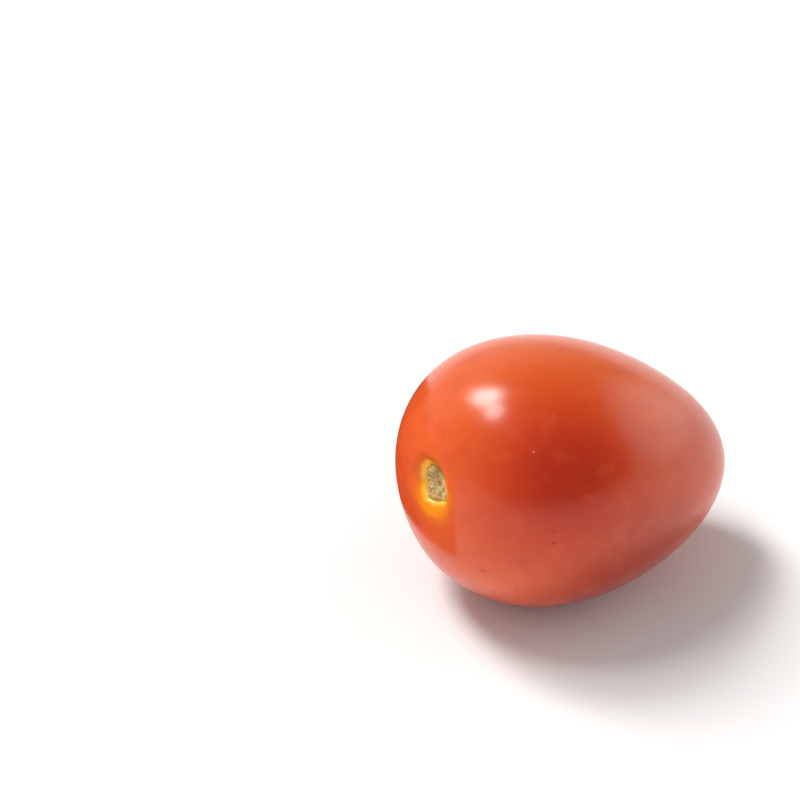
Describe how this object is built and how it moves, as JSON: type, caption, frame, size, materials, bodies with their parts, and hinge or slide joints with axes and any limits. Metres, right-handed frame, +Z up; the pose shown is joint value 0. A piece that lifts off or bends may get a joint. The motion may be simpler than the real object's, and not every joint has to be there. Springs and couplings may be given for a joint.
{
  "type": "plum tomato",
  "caption": "Whole ripe plum tomato, egg shaped and tapering to the blossom end, with a corky stem scar in a shallow hollow, lying on a small flat spot.",
  "frame": {"origin": "on the surface that the tomato lies on, under the middle of its bounding box", "axes": "+X along the tomato's longest extent, from the stem end to the blossom end; +Z up from the surface that it lies on"},
  "size_m": [0.0632, 0.0514, 0.0492],
  "materials": {
    "ripe_skin": "thin waxy tomato skin, smooth and softly glossy, orange-red at the stem end and deeper red toward the blossom end, with a tan corky stem scar in a yellow-orange ring"
  },
  "bodies": {
    "root": {"tomato": "ripe_skin"}
  },
  "joints": []
}
